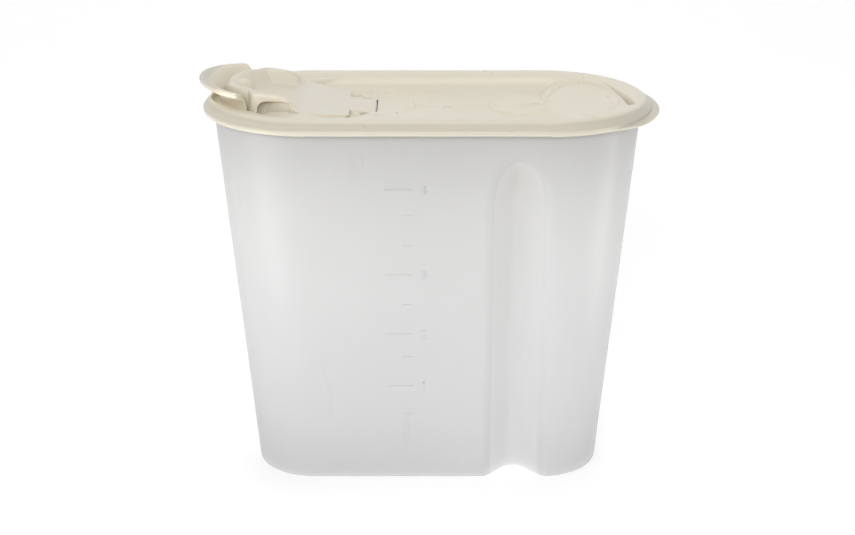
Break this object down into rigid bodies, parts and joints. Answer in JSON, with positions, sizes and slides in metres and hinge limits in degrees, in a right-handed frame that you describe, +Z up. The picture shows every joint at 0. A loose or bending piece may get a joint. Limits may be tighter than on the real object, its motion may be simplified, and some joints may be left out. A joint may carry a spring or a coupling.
{
  "type": "dry food storage container with pour spout",
  "caption": "Tall tapered oblong plastic tub for cereal, with hand grips, a press-on lid with a lift tab, a raised pour spout and a hinged flap that closes it.",
  "frame": {"origin": "centre of the flat base, on the surface the tub stands on", "axes": "+Z up; +X along the length, towards the lift tab (the spout is at -X); +Y towards the back"},
  "size_m": [0.2895, 0.134, 0.263],
  "materials": {
    "tub_plastic": "satin",
    "lid_plastic": "satin",
    "flap_plastic": "satin"
  },
  "bodies": {
    "container": {"container": "tub_plastic"},
    "lid": {"lid": "lid_plastic"},
    "flap": {"spout_flap": "flap_plastic"}
  },
  "joints": [
    {"name": "lid_lift", "type": "slide", "parent": "container", "child": "lid", "axis": [0, 0, 1], "range_m": [0, 0.06]},
    {"name": "flap_hinge", "type": "hinge", "parent": "lid", "child": "flap", "pos_m": [-0.0445, 0, 0.241], "axis": [0, 1, 0], "range_deg": [0, 120]}
  ]
}
